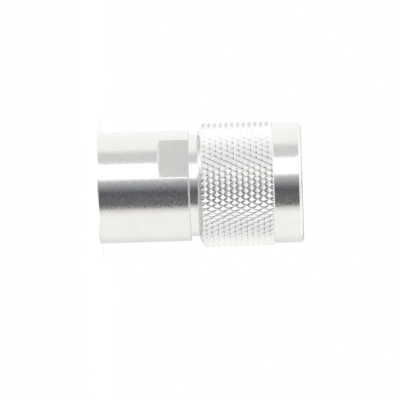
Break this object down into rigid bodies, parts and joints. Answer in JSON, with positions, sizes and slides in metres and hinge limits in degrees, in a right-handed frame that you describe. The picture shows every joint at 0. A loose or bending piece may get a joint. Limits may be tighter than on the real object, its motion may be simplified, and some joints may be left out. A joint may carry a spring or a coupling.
{
  "type": "n connector",
  "caption": "Screw-on coaxial cable plug with a plain barrel, wrench flats and a captive coupling nut with a diamond knurl.",
  "frame": {"origin": "centre of the shell's rear face, on the plug's axis, where the plug stands on end", "axes": "+Z along the plug's axis towards the mating end; the two wrench flats face +Y and -Y"},
  "size_m": [0.0208, 0.0208, 0.034],
  "materials": {
    "plated_body": "bright white-metal plating over turned brass",
    "plated_nut": "bright white-metal plating over knurled brass",
    "plated_contact": "silver plating over spring bronze",
    "gold_contact": "gold plating",
    "spring_ring": "bare spring bronze",
    "insulator": "waxy white fluoropolymer",
    "seal_rubber": "matte silicone rubber",
    "gland_rubber": "matte rubber"
  },
  "bodies": {
    "shell": {"shell": "plated_body", "interface_gasket": "seal_rubber", "outer_contact": "plated_contact", "centre_contact": "gold_contact", "front_insulator": "insulator", "rear_insulator": "insulator", "braid_clamp": "plated_body", "cable_gasket": "gland_rubber", "slip_washer": "plated_body", "gland_nut": "plated_body"},
    "snap_ring": {"snap_ring": "spring_ring"},
    "coupling_nut": {"coupling_nut": "plated_nut"}
  },
  "joints": [
    {"name": "coupling_float", "type": "slide", "parent": "shell", "child": "snap_ring", "axis": [0, 0, 1], "range_m": [0, 0.0005]},
    {"name": "coupling_turn", "type": "hinge", "parent": "snap_ring", "child": "coupling_nut", "pos_m": [0, 0, 0.01935], "axis": [0, 0, 1], "continuous": true}
  ]
}
